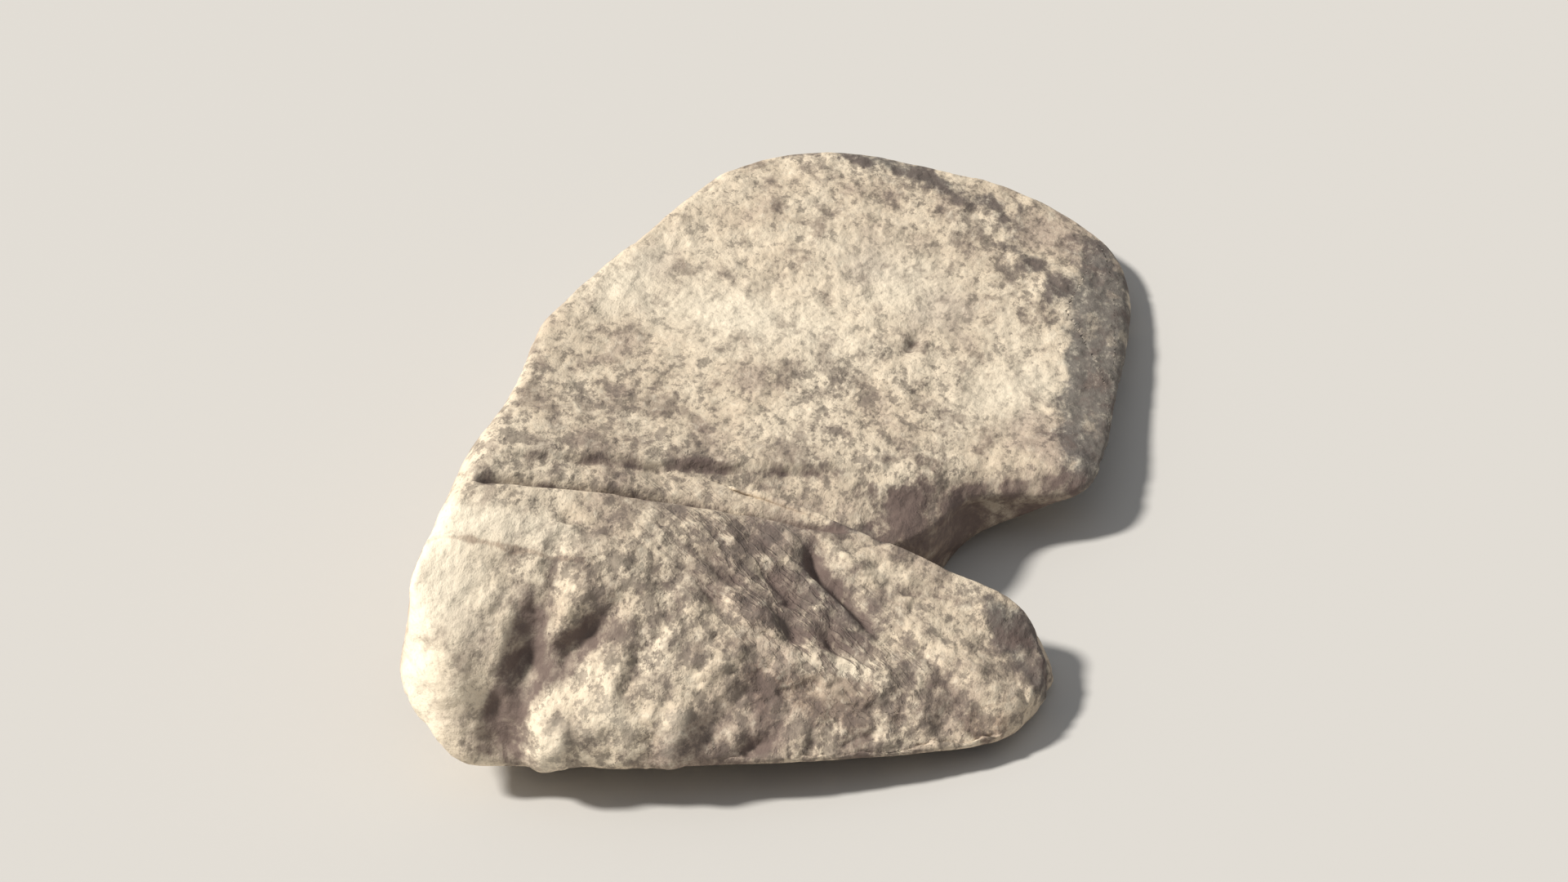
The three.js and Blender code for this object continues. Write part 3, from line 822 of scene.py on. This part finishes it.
def colour_property(name, description, default):
    return bpy.props.FloatVectorProperty(
        name=name, description=description, default=default, size=4, min=0, max=1, subtype="COLOR"
    )


class StoneSettings(bpy.types.PropertyGroup):
    """Sizes and colours of the stone."""

    across: bpy.props.IntProperty(
        name="Cells across", description="Cells across the top", default=150, min=8
    )
    lengthwise: bpy.props.IntProperty(
        name="Cells along", description="Cells along the top", default=320, min=16
    )
    rings: bpy.props.IntProperty(
        name="Rings", description="Rings of cells down the sides", default=48, min=6
    )
    relief: bpy.props.FloatProperty(
        name="Fine relief", description="Height of the grain, cracks and pocks", default=1.0, min=0, max=3
    )
    cream: colour_property("Cream", "Main tone of the stone", (0.76, 0.645, 0.490, 1))
    sand: colour_property("Sand", "Second broad tone", (0.66, 0.545, 0.405, 1))
    # Buff also paints the left side darker as painted shade.
    buff: colour_property("Buff", "Darker patches", (0.46, 0.363, 0.285, 1))
    # Chalk also paints the highlight along the lip and on what stands out.
    chalk: colour_property("Chalk", "Clean pale areas", (0.90, 0.80, 0.63, 1))
    # Mauve also paints the shade in the hollows, cracks and shaded areas.
    mauve: colour_property("Mauve", "Clouds and dirt in the hollows", (0.155, 0.113, 0.097, 1))
    # Slate also paints shade on the right edge and the tip.
    slate_and_shade: colour_property("Slate", "Grey stain at the edges", (0.125, 0.116, 0.108, 1))
    # Rust also paints shade on the walls of the split.
    rust_and_shade: colour_property("Rust", "Reddish stain on the fore lobe", (0.28, 0.185, 0.128, 1))
    fleck: colour_property("Fleck", "Dark flecks", (0.135, 0.110, 0.095, 1))


class StageSettings(bpy.types.PropertyGroup):
    """The floor, the lights and the camera."""

    floor_size: bpy.props.FloatProperty(
        name="Floor size",
        description="Side of the floor",
        default=60.0,
        min=1,
        subtype="DISTANCE",
        unit="LENGTH",
    )
    floor_colour: colour_property("Floor", "Colour of the plain floor", (0.53, 0.515, 0.49, 1))
    key_strength: bpy.props.FloatProperty(
        name="Key", description="Strength of the main light", default=4.8, min=0
    )
    fill_strength: bpy.props.FloatProperty(
        name="Fill", description="Strength of the sky", default=0.36, min=0
    )
    azimuth: bpy.props.FloatProperty(
        name="Azimuth",
        description="Camera's turn round the stone",
        default=math.radians(14),
        subtype="ANGLE",
    )
    elevation: bpy.props.FloatProperty(
        name="Elevation",
        description="Camera's height above the level",
        default=math.radians(30),
        subtype="ANGLE",
    )
    distance: bpy.props.FloatProperty(
        name="Distance",
        description="Camera to the stone",
        default=7.1,
        min=1,
        subtype="DISTANCE",
        unit="LENGTH",
    )
    lens: bpy.props.FloatProperty(
        name="Lens", description="Focal length in millimetres", default=104.0, min=10
    )


class STONE_OT_block(bpy.types.Operator):
    """Builds the weathered stone over its solid."""

    bl_idname = "stone.block"
    bl_label = "Stone"

    def execute(self, context):
        settings = context.scene.stone_settings
        shell, quads, cap = starting_shell(settings.across, settings.lengthwise, settings.rings)
        rays = shell - HEART
        rays /= np.linalg.norm(rays, axis=1, keepdims=True)
        points, outward, small = skin(rays, settings.relief)
        if not np.isfinite(points).all():
            raise RuntimeError("a ray from the heart never leaves the stone")
        piece = mesh_object("weathered_stone", points - MIDDLE, quads, cap)
        paint_areas(piece, points, outward, small)
        piece.data.materials.append(stone_material(settings))
        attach(piece, "root")
        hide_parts("stone")
        return {"FINISHED"}


class STONE_OT_stage(bpy.types.Operator):
    """Lays the plain floor, hangs the lights and sets the camera."""

    bl_idname = "stone.stage"
    bl_label = "Stage"

    def execute(self, context):
        settings = context.scene.stage_settings
        half = settings.floor_size / 2
        corners = [(-half, -half, 0), (half, -half, 0), (half, half, 0), (-half, half, 0)]
        mesh = bpy.data.meshes.new("floor")
        mesh.from_pydata(corners, [], [(0, 1, 2, 3)])
        mesh.materials.append(plain_material("plain_floor", settings.floor_colour, FLOOR_ROUGHNESS))
        floor = bpy.data.objects.new("floor", mesh)
        context.collection.objects.link(floor)
        self.light(context, settings)
        self.camera(context, settings)
        return {"FINISHED"}

    def light(self, context, settings):
        """A soft key from the camera's left, and an even sky."""
        toward_key = Vector(TOWARD_KEY)
        toward_key.rotate(Euler((0, 0, settings.azimuth)))
        key = bpy.data.lights.new("key", "SUN")
        key.energy = settings.key_strength
        key.angle = math.radians(KEY_SPREAD)
        key.color = KEY_COLOUR
        lamp = bpy.data.objects.new("key", key)
        lamp.rotation_euler = toward_key.to_track_quat("Z", "Y").to_euler()
        context.collection.objects.link(lamp)
        world = bpy.data.worlds.new("studio")
        world.use_nodes = True
        background = world.node_tree.nodes["Background"]
        background.inputs["Color"].default_value = SKY_COLOUR
        background.inputs["Strength"].default_value = settings.fill_strength
        context.scene.world = world
        context.scene.view_settings.view_transform = "Standard"

    def camera(self, context, settings):
        """Looks along the photograph's own direction, at the point its middle shows."""
        a, e = settings.azimuth, settings.elevation
        back = Vector((math.sin(a) * math.cos(e), -math.cos(a) * math.cos(e), math.sin(e)))
        data = bpy.data.cameras.new("camera")
        data.lens = settings.lens
        camera = bpy.data.objects.new("camera", data)
        camera.location = Vector(AIM) + back * settings.distance
        camera.rotation_euler = back.to_track_quat("Z", "Y").to_euler()
        context.collection.objects.link(camera)
        context.scene.camera = camera


class STONE_PT_panel(bpy.types.Panel):
    """Lists the stone's steps in the sidebar."""

    bl_idname = "STONE_PT_panel"
    bl_label = "Fallen Standing Stone"
    bl_space_type = "VIEW_3D"
    bl_region_type = "UI"
    bl_category = "Stone"

    def draw(self, context):
        for step in STEPS:
            self.layout.operator(step.bl_idname)
        for group in (context.scene.stone_settings, context.scene.stage_settings):
            box = self.layout.box()
            for name in group.__annotations__:
                box.prop(group, name)


STEPS = (STONE_OT_block, STONE_OT_stage)
CLASSES = (StoneSettings, StageSettings, *STEPS, STONE_PT_panel)


def register():
    for cls in CLASSES:
        bpy.utils.register_class(cls)
    bpy.types.Scene.stone_settings = bpy.props.PointerProperty(type=StoneSettings)
    bpy.types.Scene.stage_settings = bpy.props.PointerProperty(type=StageSettings)


def unregister():
    del bpy.types.Scene.stage_settings
    del bpy.types.Scene.stone_settings
    for cls in reversed(CLASSES):
        bpy.utils.unregister_class(cls)


def main():
    register()
    bpy.ops.stone.block()
    bpy.ops.stone.stage()


if __name__ == "__main__":
    main()
